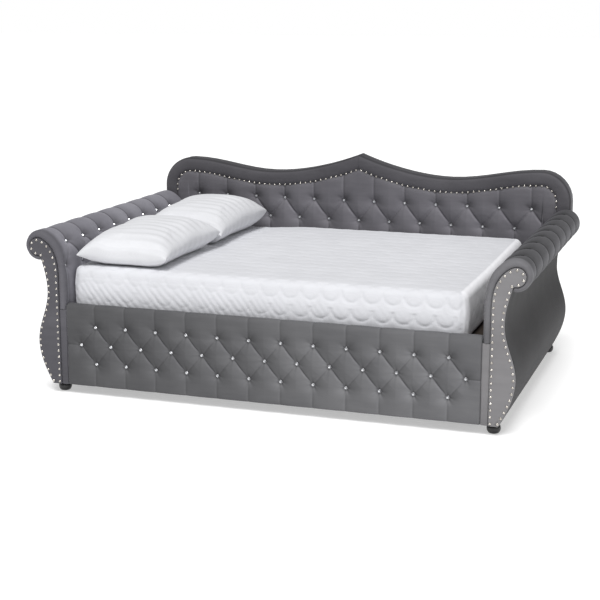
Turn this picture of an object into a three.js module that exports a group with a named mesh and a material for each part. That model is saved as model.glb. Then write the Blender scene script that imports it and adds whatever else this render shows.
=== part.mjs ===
// A queen-size daybed: two scroll arms, a camelback back and a front rail, all padded,
// around a slatted platform that carries a loose mattress and two pillows.
// Millimetres. X runs along the back, Y runs from the front rail to the back, Z is up.
// The origin is on the floor, under the middle of the daybed.

import * as THREE from 'three';

// Overall sizes.
const overallWidth = 2510;
const overallDepth = 1660;
const overallHeight = 1070;

// Space left between two pieces that touch.
const gap = 0.3;

// Feet.
const footHeight = 47;
const footDiameter = 66;
const footOffset = 53;
const frontFootSetback = 73;
const rearFootSetback = 38;

// Arms.
const armWidth = 214;
const armTopBelowPeak = 250;
const rollRadius = 76;
const rollPadThickness = 33;
const rollCoreInset = 6;
const headShift = new THREE.Vector2(7, -6);
const armPadThickness = 38;
const armWaist = 98;
const armBelly = 155;
const armBase = 84;
const bellyHeight = 262;
const waistBelowRoll = 224;
const neckInset = 14;
const neckBelowHead = 5;
const padTipInset = 2.3;
const armCoverThickness = 4;
const armBoard = 25;
const armPanelThickness = 9;
const armBottomRailHeight = 40;
const facingThickness = 12;
const facingProud = 5;
const padBehindFacing = 5;
const rollJoinDegrees = 115;
const riseLiftShare = 0.65;
const riseReachShare = 0.52;
const headEndDegrees = -100;
const armPadBelowRail = 25;

// Nail trim.
const nailRadius = 5.5;
const nailHeight = 4.7;
const nailPitch = 31.5;
const nailWebWidth = 3;
const nailLineInset = 9;
const nailAboveArm = 6;

// Back.
const backCornerInset = 58;
const backBaseInset = 1;
const backBorder = 78;
const backPadThickness = 30;
const backBoardThickness = 18;
const backFrameThickness = 49.4;
const backCoverThickness = 4;
const backFrameWidth = 70;
const dipDrop = 114;
const crestDrop = 55;
const shoulderDrop = 220;
const crestInset = 162;
const crownBelowArmTop = 30;
const flareDrop = 230;

// Pulls of the crown's curves, as shares of the distances that they run.
const peakPullOut = 0.23;
const peakPullDown = 0.44;
const dipPullIn = 0.63;
const dipPullOut = 0.36;
const crestPullIn = 0.64;
const crestPullOut = 0.52;
const shoulderPullUp = 0.55;

// Front rail.
const railHeight = 455;
const railPadThickness = 23;
const railTopPad = 10;
const railBoard = 25;
const railSetback = 7;

// Platform.
const mattressBase = 400;
const slatCount = 11;
const slatWidth = 80;
const slatThickness = 20;
const slatEndMargin = 40;
const ledgerHeight = 40;
const ledgerThickness = 30;
const beamWidth = 50;
const beamHeight = 60;
const legWidth = 40;
const legSpacing = 520;

// Corner brackets.
const bracketThickness = 4;
const bracketLeg = 76;
const bracketHeight = 160;
const bracketBase = 150;

// Mattress and pillows.
const mattressHeight = 240;
const mattressHeadGap = 19;
const mattressFootGap = 89;
const mattressRailGap = 84;
const mattressBackGap = 14;
const mattressCorner = 70;
const mattressEdge = 22;
const pillowWidth = 480;
const pillowLength = 700;
const pillowHeight = 165;
const pillowSeam = 14;
const pillowHeadInset = 12;
const pillowFrontInset = 6;
const pillowSpacing = 10;

// Places worked out from the sizes above.
const front = -overallDepth / 2;
const rear = overallDepth / 2;
const faceX = overallWidth / 2 - armWidth;
const armTop = overallHeight - armTopBelowPeak;
const rollCentre = new THREE.Vector2(armWidth - rollRadius, armTop - rollRadius);
const headCentre = rollCentre.clone().add(headShift);
const headRadius = rollRadius - rollPadThickness;
const springHeight = rollCentre.y - 2 * rollRadius;
const neckReach = headCentre.x - neckInset;
const neckHeight = headCentre.y - headRadius - neckBelowHead;
const waistHeight = rollCentre.y - waistBelowRoll;
const backBaseHalfWidth = faceX + armBase - backBaseInset;
const armPadBase = railHeight - armPadBelowRail;
const facingFront = front + facingProud;
const armPadFront = facingFront + padBehindFacing;
const frontPostFront = facingFront + facingThickness + gap;
const backCoverFront = rear - backCoverThickness;
const backFrameFront = backCoverFront - gap - backFrameThickness;
const backBoardFront = backFrameFront - gap - backBoardThickness;
const backPadFront = backBoardFront - gap - backPadThickness;
const armRear = backPadFront - gap;
const railFront = front + railSetback;
const railBoardFront = railFront + railPadThickness + gap;
const railBoardRear = railBoardFront + railBoard;
const slatBase = mattressBase - gap - slatThickness;
const ledgerTop = slatBase - gap;
const mattressFront = front + mattressRailGap;
const mattressTop = mattressBase + mattressHeight;

// Materials.

function finish(color, roughness, metalness) {
  return () => new THREE.MeshStandardMaterial({ color, roughness, metalness });
}

const velvet = finish(0x5d5c62, 0.7, 0);
const timber = finish(0xc8a67a, 0.65, 0);
const pewter = finish(0xb9b2a6, 0.3, 1);
const blackLacquer = finish(0x151515, 0.3, 0);
const steel = finish(0x3a3b3d, 0.4, 1);
const liningCloth = finish(0x2a2a2c, 0.9, 0);
const whiteCotton = finish(0xf2f2f4, 0.9, 0);

// Helpers.

function addPart(parent, name, geometry, material) {
  const mesh = new THREE.Mesh(geometry, material());
  mesh.name = name;
  parent.add(mesh);
  return mesh;
}

function board(x0, x1, y0, y1, z0, z1) {
  const geometry = new THREE.BoxGeometry(Math.abs(x1 - x0), y1 - y0, z1 - z0);
  geometry.translate((x0 + x1) / 2, (y0 + y1) / 2, (z0 + z1) / 2);
  return geometry;
}

// An outline in X and Z, carried from yFront back to yRear.
function carriedBack(points, yFront, yRear) {
  const depth = yRear - yFront;
  const shape = new THREE.Shape(points);
  const geometry = new THREE.ExtrudeGeometry(shape, { depth, bevelEnabled: false });
  geometry.rotateX(Math.PI / 2);
  geometry.translate(0, yRear, 0);
  return geometry;
}

// An outline in Y and Z, carried from xLeft to xRight.
function carriedAcross(points, xLeft, xRight) {
  const depth = xRight - xLeft;
  const shape = new THREE.Shape(points);
  const geometry = new THREE.ExtrudeGeometry(shape, { depth, bevelEnabled: false });
  const turn = new THREE.Matrix4().makeBasis(
    new THREE.Vector3(0, 1, 0),
    new THREE.Vector3(0, 0, 1),
    new THREE.Vector3(1, 0, 0),
  );
  geometry.applyMatrix4(turn);
  geometry.translate(xLeft, 0, 0);
  return geometry;
}

// The same points with X turned to the given side, +1 for the right and -1 for the left.
function onSide(points, side) {
  return points.map((p) => new THREE.Vector2(side * p.x, p.y));
}

// A line moved sideways by a distance, to the right of its direction, with mitred corners.
function movedRight(points, distance) {
  const last = points.length - 1;
  return points.map((point, i) => {
    const before = points[Math.max(i - 1, 0)];
    const after = points[Math.min(i + 1, last)];
    const arrive = i > 0 ? point.clone().sub(before) : after.clone().sub(point);
    const leave = i < last ? after.clone().sub(point) : arrive.clone();
    arrive.normalize();
    leave.normalize();
    const normal = new THREE.Vector2(arrive.y + leave.y, -arrive.x - leave.x).normalize();
    const stretch = normal.x * arrive.y - normal.y * arrive.x;
    return point.clone().addScaledVector(normal, distance / stretch);
  });
}

function withoutRepeats(points) {
  return points.filter((p, i) => i === 0 || p.distanceTo(points[i - 1]) > 0.05);
}

// Arm outlines, in X outwards from the arm's inner face, and Z.

// From the straight inner face at x = face, up a curve and over a roll, ending at endAngle.
function faceOverRoll(face, baseHeight, centre, radius, endAngle) {
  const joinAngle = THREE.MathUtils.degToRad(rollJoinDegrees);
  const join = new THREE.Vector2(radius, 0).rotateAround(new THREE.Vector2(), joinAngle).add(centre);
  const lift = riseLiftShare * (join.y - springHeight);
  const reach = riseReachShare * (join.x - face);
  const foot = new THREE.Vector2(face, springHeight);
  const rise = new THREE.CubicBezierCurve(
    foot,
    new THREE.Vector2(face, springHeight + lift),
    new THREE.Vector2(join.x - reach * Math.sin(joinAngle), join.y + reach * Math.cos(joinAngle)),
    join,
  );
  const roll = new THREE.EllipseCurve(centre.x, centre.y, radius, radius, joinAngle, endAngle, true);
  return withoutRepeats([
    new THREE.Vector2(face, baseHeight),
    ...rise.getPoints(8),
    ...roll.getPoints(24),
  ]);
}

// Distance of the arm's outer side from its inner face: a swelling belly, a waist and a neck,
// each joined to the next by part of a cosine wave.
function sideReach(z) {
  const quarter = Math.PI / 2;
  if (z > waistHeight) {
    const rise = (z - waistHeight) / (neckHeight - waistHeight);
    return neckReach - (neckReach - armWaist) * Math.cos(quarter * rise);
  }
  if (z > bellyHeight) {
    const rise = (z - bellyHeight) / (waistHeight - bellyHeight);
    return armWaist + (armBelly - armWaist) * Math.cos(quarter * rise) ** 2;
  }
  const fall = (bellyHeight - z) / (bellyHeight - footHeight);
  return armBase + (armBelly - armBase) * Math.cos(quarter * fall);
}

// The outer side from the neck down to the base, moved inwards by an inset.
function sideLine(inset) {
  const steps = 22;
  return Array.from({ length: steps + 1 }, (_, i) => {
    const z = THREE.MathUtils.lerp(neckHeight, footHeight, i / steps);
    return new THREE.Vector2(sideReach(z) - inset, z);
  });
}

const headEnd = THREE.MathUtils.degToRad(headEndDegrees);
const rollEnd = -Math.acos((neckReach - padTipInset - rollCentre.x) / rollRadius);

function postOutline(sideInset) {
  return [
    ...faceOverRoll(armPadThickness, footHeight, headCentre, headRadius, headEnd),
    ...sideLine(sideInset),
  ];
}

function armPadOutline() {
  const outer = faceOverRoll(0, armPadBase, rollCentre, rollRadius, rollEnd);
  const inner = faceOverRoll(armPadThickness - gap, armPadBase, headCentre, headRadius + gap, headEnd);
  return [...outer, ...inner.reverse()];
}

// A flat strip with a nail head at every pitch along a line.
function nailStrip(line, firstNail) {
  const path = new THREE.CurvePath();
  for (let i = 1; i < line.length; i += 1) {
    path.add(new THREE.LineCurve(line[i - 1], line[i]));
  }
  const length = path.getLength();
  const count = Math.floor((length - 2 * firstNail) / nailPitch) + 1;
  const start = (length - (count - 1) * nailPitch) / 2;
  const right = [];
  const left = [];
  const addPair = (distance, halfWidth) => {
    const share = distance / length;
    const point = path.getPointAt(share);
    const along = path.getTangentAt(share);
    const across = new THREE.Vector2(along.y, -along.x);
    right.push(point.clone().addScaledVector(across, halfWidth));
    left.push(point.clone().addScaledVector(across, -halfWidth));
  };
  for (let i = 0; i < count; i += 1) {
    const centre = start + i * nailPitch;
    addPair(centre - nailRadius, nailWebWidth / 2);
    addPair(centre, nailRadius);
    addPair(centre + nailRadius, nailWebWidth / 2);
  }
  return [...right, ...left.reverse()];
}

// Feet.

// A bun foot's profile: shares of its radius and of its height.
const bunProfile = [
  [0, 0],
  [0.68, 0],
  [0.8, 0.06],
  [0.97, 0.42],
  [1, 0.62],
  [0.94, 0.82],
  [0.94, 1],
  [0, 1],
];

function bunFoot(x, y) {
  const radius = footDiameter / 2;
  const top = footHeight - gap;
  const profile = bunProfile.map(([out, up]) => new THREE.Vector2(out * radius, up * top));
  const geometry = new THREE.LatheGeometry(profile, 20);
  geometry.rotateX(Math.PI / 2);
  geometry.translate(x, y, 0);
  return geometry;
}

// Arms.

function buildArm(side, label) {
  const arm = new THREE.Group();
  arm.position.x = side * faceX;
  const outline = (points) => onSide(points, side);
  const part = (name, geometry, material) => addPart(arm, `${label}_${name}`, geometry, material);

  const frontPostRear = frontPostFront + armBoard;
  const rearPostFront = armRear - armBoard;
  const railStart = frontPostRear + gap;
  const railStop = rearPostFront - gap;
  const post = outline(postOutline(armCoverThickness + gap));
  part('arm_front_post', carriedBack(post, frontPostFront, frontPostRear), timber);
  part('arm_rear_post', carriedBack(post, rearPostFront, armRear), timber);

  const coreRadius = headRadius - rollCoreInset;
  const rollCore = new THREE.CylinderGeometry(coreRadius, coreRadius, railStop - railStart, 20);
  rollCore.translate(side * headCentre.x, (railStart + railStop) / 2, headCentre.y);
  part('arm_roll_core', rollCore, timber);

  const bottomOuter = Math.min(sideReach(footHeight), sideReach(footHeight + armBottomRailHeight));
  const inner = side * armPadThickness;
  const bottomEdge = side * (bottomOuter - armCoverThickness - gap);
  const railTop = footHeight + armBottomRailHeight;
  part('arm_bottom_rail', board(inner, bottomEdge, railStart, railStop, footHeight, railTop), timber);

  const panelEdge = side * (armPadThickness + armPanelThickness);
  const panelTop = springHeight;
  part('arm_inner_panel', board(inner, panelEdge, railStart, railStop, railTop + gap, panelTop), timber);

  const cover = outline([...sideLine(0), ...sideLine(armCoverThickness).reverse()]);
  part('arm_outer_cover', carriedBack(cover, frontPostFront, armRear), velvet);
  part('arm_pad', carriedBack(outline(armPadOutline()), armPadFront, armRear), velvet);

  const baseTop = armPadBase - gap;
  const baseEdge = side * (armPadThickness - gap);
  part('arm_inner_base', board(0, baseEdge, armPadFront, armRear, footHeight, baseTop), velvet);

  const facing = outline(postOutline(0));
  part('arm_facing', carriedBack(facing, facingFront, facingFront + facingThickness), velvet);
  const nailRear = facingFront - gap;
  const nailLine = movedRight(postOutline(0), nailLineInset);
  const nails = outline(nailStrip(nailLine, nailLineInset));
  part('arm_nail_trim', carriedBack(nails, nailRear - nailHeight, nailRear), pewter);

  part('front_foot', bunFoot(side * footOffset, front + frontFootSetback), blackLacquer);
  return arm;
}

// Back outlines, in X and Z, running from the lower left up over the crown to the lower right.

const crownHalfWidth = overallWidth / 2 - backCornerInset;
const dipShare = 0.44;
const crownBase = armTop - crownBelowArmTop;
const flareBase = crownBase - flareDrop;

// The right half of the crown, from the peak out and down to the end of the shoulder.
function crownHalf() {
  const peak = new THREE.Vector2(0, overallHeight);
  const dip = new THREE.Vector2(dipShare * crownHalfWidth, overallHeight - dipDrop);
  const crest = new THREE.Vector2(crownHalfWidth - crestInset, overallHeight - crestDrop);
  const shoulder = new THREE.Vector2(crownHalfWidth, overallHeight - shoulderDrop);
  const sweep = new THREE.CubicBezierCurve(
    peak,
    new THREE.Vector2(peakPullOut * dip.x, peak.y - peakPullDown * dipDrop),
    new THREE.Vector2(dipPullIn * dip.x, dip.y),
    dip,
  );
  const rise = new THREE.CubicBezierCurve(
    dip,
    new THREE.Vector2(THREE.MathUtils.lerp(dip.x, crest.x, dipPullOut), dip.y),
    new THREE.Vector2(THREE.MathUtils.lerp(dip.x, crest.x, crestPullIn), crest.y),
    crest,
  );
  const turn = new THREE.CubicBezierCurve(
    crest,
    new THREE.Vector2(crest.x + crestPullOut * crestInset, crest.y),
    new THREE.Vector2(crownHalfWidth, THREE.MathUtils.lerp(shoulder.y, crest.y, shoulderPullUp)),
    shoulder,
  );
  return withoutRepeats([
    ...sweep.getPoints(10),
    ...rise.getPoints(8),
    ...turn.getPoints(8),
    new THREE.Vector2(crownHalfWidth, crownBase),
  ]);
}

// The right edge below the crown: it narrows behind the arm and runs straight to the base.
function flankRight(baseHeight) {
  const low = new THREE.Vector2(backBaseHalfWidth, flareBase);
  const bend = (crownBase - flareBase) / 2;
  const flare = new THREE.CubicBezierCurve(
    new THREE.Vector2(crownHalfWidth, crownBase),
    new THREE.Vector2(crownHalfWidth, crownBase - bend),
    new THREE.Vector2(low.x, low.y + bend),
    low,
  );
  return [...flare.getPoints(8), new THREE.Vector2(backBaseHalfWidth, baseHeight)];
}

function bothHalves(rightHalf) {
  const leftHalf = onSide(rightHalf, -1).reverse();
  return withoutRepeats([...leftHalf, ...rightHalf]);
}

// Both halves moved inwards. Points beside the peak that would pass over the middle are dropped.
function bothHalvesMovedIn(rightHalf, distance) {
  const closestToMiddle = 2;
  const line = bothHalves(rightHalf);
  const moved = movedRight(line, distance).slice((line.length - 1) / 2);
  return bothHalves(moved.filter((p, i) => i === 0 || p.x > closestToMiddle));
}

function backHalf(baseHeight) {
  return withoutRepeats([...crownHalf(), ...flankRight(baseHeight)]);
}

// Distance along the back's nail line, from its lower end, to the first nail clear of the arm's roll.
function firstBackNail() {
  const across = crownHalfWidth - backBorder - faceX - rollCentre.x;
  const rollTop = rollCentre.y + Math.sqrt(rollRadius ** 2 - across ** 2);
  return rollTop - crownBase + nailRadius + nailAboveArm;
}

function buildBack() {
  const back = new THREE.Group();
  const whole = bothHalves(backHalf(footHeight));
  const boardEdge = 2;
  const boardLine = bothHalvesMovedIn(backHalf(footHeight), boardEdge);
  addPart(back, 'back_board', carriedBack(boardLine, backBoardFront,
    backBoardFront + backBoardThickness), timber);
  addPart(back, 'back_rear_cover', carriedBack(whole, backCoverFront, rear), liningCloth);

  const borderInner = bothHalvesMovedIn(backHalf(footHeight), backBorder - gap);
  const border = [...whole, ...borderInner.reverse()];
  addPart(back, 'back_border_pad', carriedBack(border, backPadFront,
    backPadFront + backPadThickness), velvet);
  const field = bothHalvesMovedIn(backHalf(mattressBase), backBorder);
  addPart(back, 'back_field_pad', carriedBack(field, backPadFront,
    backPadFront + backPadThickness), velvet);

  const nailLine = bothHalvesMovedIn(crownHalf(), backBorder);
  const nailRear = backPadFront - gap;
  const nails = nailStrip(nailLine, firstBackNail());
  addPart(back, 'back_nail_trim', carriedBack(nails, nailRear - nailHeight, nailRear), pewter);

  const frameRear = backFrameFront + backFrameThickness;
  const topRail = [
    ...bothHalvesMovedIn(crownHalf(), boardEdge),
    ...bothHalvesMovedIn(crownHalf(), backFrameWidth).reverse(),
  ];
  addPart(back, 'back_top_rail', carriedBack(topRail, backFrameFront, frameRear), timber);

  const postInner = backBaseHalfWidth - boardEdge - backFrameWidth;
  const postTop = crownBase - gap;
  const flank = movedRight(flankRight(footHeight), boardEdge).filter((p) => p.y < postTop);
  const postCorner = new THREE.Vector2(crownHalfWidth - boardEdge, postTop);
  const post = [
    new THREE.Vector2(postInner, postTop),
    postCorner,
    ...flank,
    new THREE.Vector2(postInner, footHeight),
  ];
  for (const [side, label] of [[-1, 'left'], [1, 'right']]) {
    const shape = onSide(post, side);
    addPart(back, `back_post_${label}`, carriedBack(shape, backFrameFront, frameRear), timber);
    const foot = bunFoot(side * (faceX + footOffset), rear - rearFootSetback);
    addPart(back, `${label}_rear_foot`, foot, blackLacquer);
  }

  const half = backFrameWidth / 2;
  const stileTop = overallHeight - dipDrop - backFrameWidth;
  addPart(back, 'back_centre_stile', board(-half, half, backFrameFront, frameRear,
    footHeight, stileTop), timber);

  const lowerReach = backBaseHalfWidth - backBorder;
  addPart(back, 'back_lower_panel', board(-lowerReach, lowerReach, backPadFront,
    backPadFront + backPadThickness, footHeight, mattressBase - gap), timber);
  return back;
}

// Front rail.

function buildFrontRail() {
  const rail = new THREE.Group();
  const reach = faceX - gap;
  const boardTop = railHeight - railTopPad - gap;
  addPart(rail, 'front_rail_board', board(-reach, reach, railBoardFront, railBoardRear,
    footHeight, boardTop), timber);
  const pad = [
    new THREE.Vector2(railFront, footHeight),
    new THREE.Vector2(railFront + railPadThickness, footHeight),
    new THREE.Vector2(railFront + railPadThickness, railHeight - railTopPad),
    new THREE.Vector2(railBoardRear, railHeight - railTopPad),
    new THREE.Vector2(railBoardRear, railHeight),
    new THREE.Vector2(railFront, railHeight),
  ];
  addPart(rail, 'front_rail_pad', carriedAcross(pad, -reach, reach), velvet);
  return rail;
}

// Slats, ledgers, beam and legs.

function buildPlatform() {
  const platform = new THREE.Group();
  const reach = faceX - gap;
  const ledgerBase = ledgerTop - ledgerHeight;
  const frontLedger = railBoardRear + gap;
  const rearLedger = backPadFront - gap;
  addPart(platform, 'ledger_front', board(-reach, reach, frontLedger,
    frontLedger + ledgerThickness, ledgerBase, ledgerTop), timber);
  addPart(platform, 'ledger_rear', board(-reach, reach, rearLedger - ledgerThickness,
    rearLedger, ledgerBase, ledgerTop), timber);

  const slatReach = faceX - slatEndMargin - slatWidth / 2;
  for (let i = 0; i < slatCount; i += 1) {
    const x = THREE.MathUtils.lerp(-slatReach, slatReach, i / (slatCount - 1));
    const name = `slat_${String(i + 1).padStart(2, '0')}`;
    addPart(platform, name, board(x - slatWidth / 2, x + slatWidth / 2, frontLedger,
      rearLedger, slatBase, slatBase + slatThickness), timber);
  }

  const beamBase = ledgerTop - beamHeight;
  addPart(platform, 'centre_beam', board(-reach, reach, -beamWidth / 2, beamWidth / 2,
    beamBase, ledgerTop), timber);
  for (const [i, label] of ['left', 'middle', 'right'].entries()) {
    const x = (i - 1) * legSpacing;
    const half = legWidth / 2;
    addPart(platform, `beam_leg_${label}`, board(x - half, x + half, -half, half, 0,
      beamBase - gap), timber);
  }
  return platform;
}

// Steel angle brackets, one plate on the arm and one along the rail or the back.

function buildBrackets() {
  const brackets = new THREE.Group();
  const t = bracketThickness;
  const top = bracketBase + bracketHeight;
  const corners = [
    { label: 'rail', wall: railBoardRear + gap, inward: 1 },
    { label: 'back', wall: backPadFront - gap, inward: -1 },
  ];
  for (const { label, wall, inward } of corners) {
    for (const [side, name] of [[-1, 'left'], [1, 'right']]) {
      const arm = side * (faceX - gap);
      const angle = [
        new THREE.Vector2(arm, wall),
        new THREE.Vector2(arm, wall + inward * bracketLeg),
        new THREE.Vector2(arm - side * t, wall + inward * bracketLeg),
        new THREE.Vector2(arm - side * t, wall + inward * t),
        new THREE.Vector2(arm - side * bracketLeg, wall + inward * t),
        new THREE.Vector2(arm - side * bracketLeg, wall),
      ];
      const shape = new THREE.Shape(angle);
      const geometry = new THREE.ExtrudeGeometry(shape, { depth: top - bracketBase, bevelEnabled: false });
      geometry.translate(0, 0, bracketBase);
      addPart(brackets, `${label}_bracket_${name}`, geometry, steel);
    }
  }
  return brackets;
}

// Mattress and pillows.

function mattressGeometry(x0, x1, y0, y1) {
  const e = mattressEdge;
  const c = mattressCorner;
  const shape = new THREE.Shape();
  shape.moveTo(x0 + c, y0 + e);
  shape.absarc(x1 - c, y0 + c, c - e, -Math.PI / 2, 0, false);
  shape.absarc(x1 - c, y1 - c, c - e, 0, Math.PI / 2, false);
  shape.absarc(x0 + c, y1 - c, c - e, Math.PI / 2, Math.PI, false);
  shape.absarc(x0 + c, y0 + c, c - e, Math.PI, 1.5 * Math.PI, false);
  const geometry = new THREE.ExtrudeGeometry(shape, {
    depth: mattressHeight - 2 * e,
    bevelSize: e,
    bevelThickness: e,
    bevelSegments: 3,
    curveSegments: 5,
  });
  geometry.translate(0, 0, mattressBase + e);
  return geometry;
}

// A box whose top and bottom swell away from a thin seam all round its edge. The height falls
// from the middle to the seam as the square root of the distance left to the nearest edges.
function pillowGeometry() {
  const geometry = new THREE.BoxGeometry(pillowWidth, pillowLength, pillowSeam, 10, 12, 1);
  const place = geometry.attributes.position;
  for (let i = 0; i < place.count; i += 1) {
    const u = 2 * place.getX(i) / pillowWidth;
    const v = 2 * place.getY(i) / pillowLength;
    const fill = Math.sqrt(Math.max(0, (1 - u ** 4) * (1 - v ** 4)));
    const half = pillowSeam / 2 + fill * (pillowHeight - pillowSeam) / 2;
    place.setZ(i, Math.sign(place.getZ(i)) * half);
  }
  return geometry;
}

function buildBedding() {
  const bedding = new THREE.Group();
  const left = -faceX + mattressHeadGap;
  const right = faceX - mattressFootGap;
  const mattressRear = backPadFront - mattressBackGap;
  const mattress = mattressGeometry(left, right, mattressFront, mattressRear);
  addPart(bedding, 'mattress', mattress, whiteCotton);

  const pillowX = left + pillowHeadInset + pillowWidth / 2;
  const frontY = mattressFront + pillowFrontInset + pillowLength / 2;
  const height = mattressTop + gap + pillowHeight / 2;
  const pillowFront = addPart(bedding, 'pillow_front', pillowGeometry(), whiteCotton);
  pillowFront.position.set(pillowX, frontY, height);
  const pillowRear = addPart(bedding, 'pillow_rear', pillowGeometry(), whiteCotton);
  pillowRear.position.set(pillowX, frontY + pillowLength + pillowSpacing, height);
  return bedding;
}

const daybed = new THREE.Group();
daybed.add(buildArm(-1, 'left'));
daybed.add(buildArm(1, 'right'));
daybed.add(buildBack());
daybed.add(buildFrontRail());
daybed.add(buildPlatform());
daybed.add(buildBrackets());
daybed.add(buildBedding());

export default daybed;
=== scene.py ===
"""A queen-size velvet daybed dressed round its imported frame: a buttoned rail, back and pair of scroll
arms, smooth outer covers, nail trim, crystal buttons, bun feet, a quilted mattress and two stuffed
pillows. Shapes are worked out in millimetres and put into meshes in metres."""

import bmesh
import bpy
import numpy as np
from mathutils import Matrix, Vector


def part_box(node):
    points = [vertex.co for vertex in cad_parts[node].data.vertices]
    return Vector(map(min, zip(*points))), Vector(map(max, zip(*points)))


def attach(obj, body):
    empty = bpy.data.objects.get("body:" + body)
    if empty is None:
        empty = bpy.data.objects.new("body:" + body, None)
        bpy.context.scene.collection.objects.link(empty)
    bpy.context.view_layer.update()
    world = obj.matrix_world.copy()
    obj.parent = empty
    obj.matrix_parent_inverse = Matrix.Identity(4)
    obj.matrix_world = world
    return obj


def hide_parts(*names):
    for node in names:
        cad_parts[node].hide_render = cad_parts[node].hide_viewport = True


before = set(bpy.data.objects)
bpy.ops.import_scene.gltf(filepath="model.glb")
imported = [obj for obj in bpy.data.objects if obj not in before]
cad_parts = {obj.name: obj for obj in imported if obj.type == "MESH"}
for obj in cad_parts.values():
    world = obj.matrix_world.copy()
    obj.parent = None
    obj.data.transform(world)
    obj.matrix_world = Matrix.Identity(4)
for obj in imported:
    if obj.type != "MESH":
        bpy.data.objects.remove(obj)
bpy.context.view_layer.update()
MM = 0.001


def span(node):
    """Lowest and highest corner of a CAD node, in millimetres."""
    low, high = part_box(node)
    return np.array(low) / MM, np.array(high) / MM


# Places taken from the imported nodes.
base_low, base_high = span("right_arm_inner_base")
face_x = base_low[0]
front_y, arm_rear = base_low[1], base_high[1]
pad_base, floor_gap = span("right_arm_pad")[0][2], base_low[2]
facing_low, facing_high = span("right_arm_facing")
cover_low, cover_high = span("right_arm_outer_cover")
rail_low, rail_high = span("front_rail_pad")
field_low, field_high = span("back_field_pad")
border_high = span("back_border_pad")[1]
mattress_low, mattress_high = span("mattress")

# Arm sizes that the curves need.
roll_centre = np.array([138.0, 744.0])
roll_radius = 76.0
head_centre = np.array([145.0, 738.0])
head_radius = 43.0
pad_thickness = 38.0
spring_height = 592.0
join_angle = np.radians(115)
neck = np.array([131.0, 690.0])
waist = (98.0, 520.0)
belly = (155.0, 262.0)
arm_foot = 84.0

# Back outline sizes.
peak_height = border_high[2]
crown_half = 1197.0
dip_x, dip_height = 526.7, 956.0
crest_x, crest_height = 1035.0, 1015.0
shoulder_height = 850.0
crown_base, flare_base = 790.0, 560.0
back_base_half = 1124.0
border_width = 78.0

# Nails and buttons.
nail_radius, nail_height, nail_pitch = 6.8, 4.8, 31.5
nail_inset = 9.0
button_radius = 9.5


# Meshes.

def part(points, closed_v=False, cap=False, fold=0.0, pit=0.0, lay=0.5):
    """A grid of points as quads, joined round to itself where closed; cap closes the first and last
    rows. fold (painted highlight), pit (painted shade) and lay (painted
    light and shade) may cover only the first columns, and the rest stays neutral."""
    m, n = points.shape[:2]
    index = np.arange(m * n).reshape(m, n)
    if closed_v:
        index = np.hstack([index, index[:, :1]])
    quads = np.stack([index[:-1, :-1], index[1:, :-1], index[1:, 1:], index[:-1, 1:]], -1)
    faces = quads.reshape(-1, 4).tolist()
    if cap:
        faces += [list(range(n)), list(range((m - 1) * n, m * n))]
    made = {"co": points.reshape(-1, 3), "faces": faces}
    for key, value, neutral in (("fold", fold, 0.0), ("pit", pit, 0.0), ("lay", lay, 0.5)):
        value, full = np.asarray(value), np.full((m, n), neutral)
        full[:, : value.shape[1] if value.ndim else n] = value
        made[key] = full.reshape(-1)
    return made


def put(name, data):
    """A new object in the scene, holding the data."""
    made = bpy.data.objects.new(name, data)
    bpy.context.scene.collection.objects.link(made)
    return made


def build(name, parts, material, replaces=(), body="bed_frame", smooth=True):
    """The parts as one mesh in metres, seams merged and faces turned outwards, riding on its body."""
    points, faces, start = [], [], 0
    for p in parts:
        points.append(p["co"])
        faces += [[i + start for i in f] for f in p["faces"]]
        start += len(p["co"])
    mesh = bpy.data.meshes.new(name)
    mesh.from_pydata((np.concatenate(points) * MM).tolist(), [], faces)
    # The attributes carry painted highlight, painted shade and painted light for the materials.
    for key in ("fold", "pit", "lay"):
        layer = mesh.attributes.new(key, "FLOAT", "POINT")
        layer.data.foreach_set("value", np.concatenate([p[key] for p in parts]).astype(np.float32))
    work = bmesh.new()
    work.from_mesh(mesh)
    bmesh.ops.remove_doubles(work, verts=work.verts, dist=0.00002)
    bmesh.ops.dissolve_degenerate(work, dist=0.000005, edges=work.edges)
    bmesh.ops.recalc_face_normals(work, faces=work.faces)
    work.to_mesh(mesh)
    work.free()
    mesh.polygons.foreach_set("use_smooth", [smooth] * len(mesh.polygons))
    mesh.materials.append(material)
    piece = put(name, mesh)
    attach(piece, body)
    if replaces:
        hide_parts(*replaces)
    return piece


def bezier(a, b, c, d, count):
    """A cubic Bezier curve through a and d, pulled by b and c, as count points."""
    t = np.linspace(0, 1, count)[:, None]
    a, b, c, d = (np.asarray(p, float) for p in (a, b, c, d))
    return (1 - t) ** 3 * a + 3 * (1 - t) ** 2 * t * b + 3 * (1 - t) * t**2 * c + t**3 * d


def joined(*runs):
    """Runs of points end to end, with points closer than 0.05 mm to the one before left out."""
    points = np.concatenate(runs)
    steps = np.linalg.norm(np.diff(points, axis=0), axis=1)
    return points[np.concatenate([[True], steps > 0.05])]


def lengths(points):
    """Distance along a line of points, from its first point."""
    steps = np.linalg.norm(np.diff(points, axis=0), axis=1)
    return np.concatenate([[0], np.cumsum(steps)])


def along(points, distances):
    """Points and unit directions at the given distances along a line."""
    run = lengths(points)
    place = np.stack([np.interp(distances, run, points[:, k]) for k in range(points.shape[1])], -1)
    slope = np.gradient(points, run, axis=0)
    way = np.stack([np.interp(distances, run, slope[:, k]) for k in range(points.shape[1])], -1)
    return place, way / np.linalg.norm(way, axis=1)[:, None]


def evenly(points, step):
    """A line of points resampled at even distances of about step."""
    total = lengths(points)[-1]
    return along(points, np.linspace(0, total, max(2, round(total / step) + 1)))[0]


def right_of(points, closed=False):
    """Unit normals of a line in the plane, to the right of its direction."""
    if closed:
        way = np.roll(points, -1, 0) - np.roll(points, 1, 0)
    else:
        way = np.gradient(points, axis=0)
    way = way / np.linalg.norm(way, axis=1)[:, None]
    return np.stack([way[:, 1], -way[:, 0]], -1)


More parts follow.
